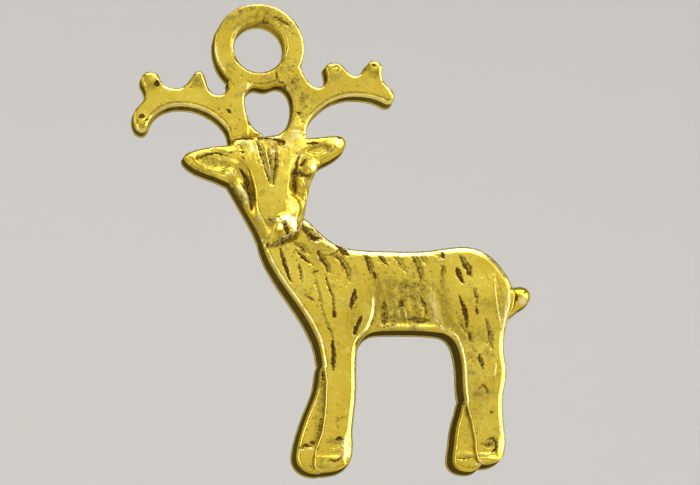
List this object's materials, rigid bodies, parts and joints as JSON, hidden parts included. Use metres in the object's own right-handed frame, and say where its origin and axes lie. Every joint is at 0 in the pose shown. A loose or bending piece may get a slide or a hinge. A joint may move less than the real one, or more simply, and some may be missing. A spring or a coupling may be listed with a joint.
{
  "type": "reindeer charm",
  "caption": "Cast antique-gold reindeer charm: a flat-backed relief with the body in profile, the antlered head facing out, and a hanging ring above the head.",
  "frame": {"origin": "centre of the hole in the hanging ring, half way through the ring's thickness", "axes": "+Z from the hooves up to the ring, +X from the head towards the tail, +Y out of the flat back, so the relief faces -Y"},
  "size_m": [0.0255, 0.0032, 0.03],
  "materials": {
    "antique_gold": "bright antique gold plating with dark patina left in the grooves"
  },
  "bodies": {
    "root": {"hanging_ring": "antique_gold", "left_antler": "antique_gold", "right_antler": "antique_gold", "left_ear": "antique_gold", "right_ear": "antique_gold", "head": "antique_gold", "neck": "antique_gold", "shoulder": "antique_gold", "torso": "antique_gold", "haunch": "antique_gold", "tail": "antique_gold", "near_foreleg": "antique_gold", "far_foreleg": "antique_gold", "near_hindleg": "antique_gold", "far_hindleg": "antique_gold", "near_fore_hoof": "antique_gold", "far_fore_hoof": "antique_gold", "near_hind_hoof": "antique_gold", "far_hind_hoof": "antique_gold"}
  },
  "joints": []
}
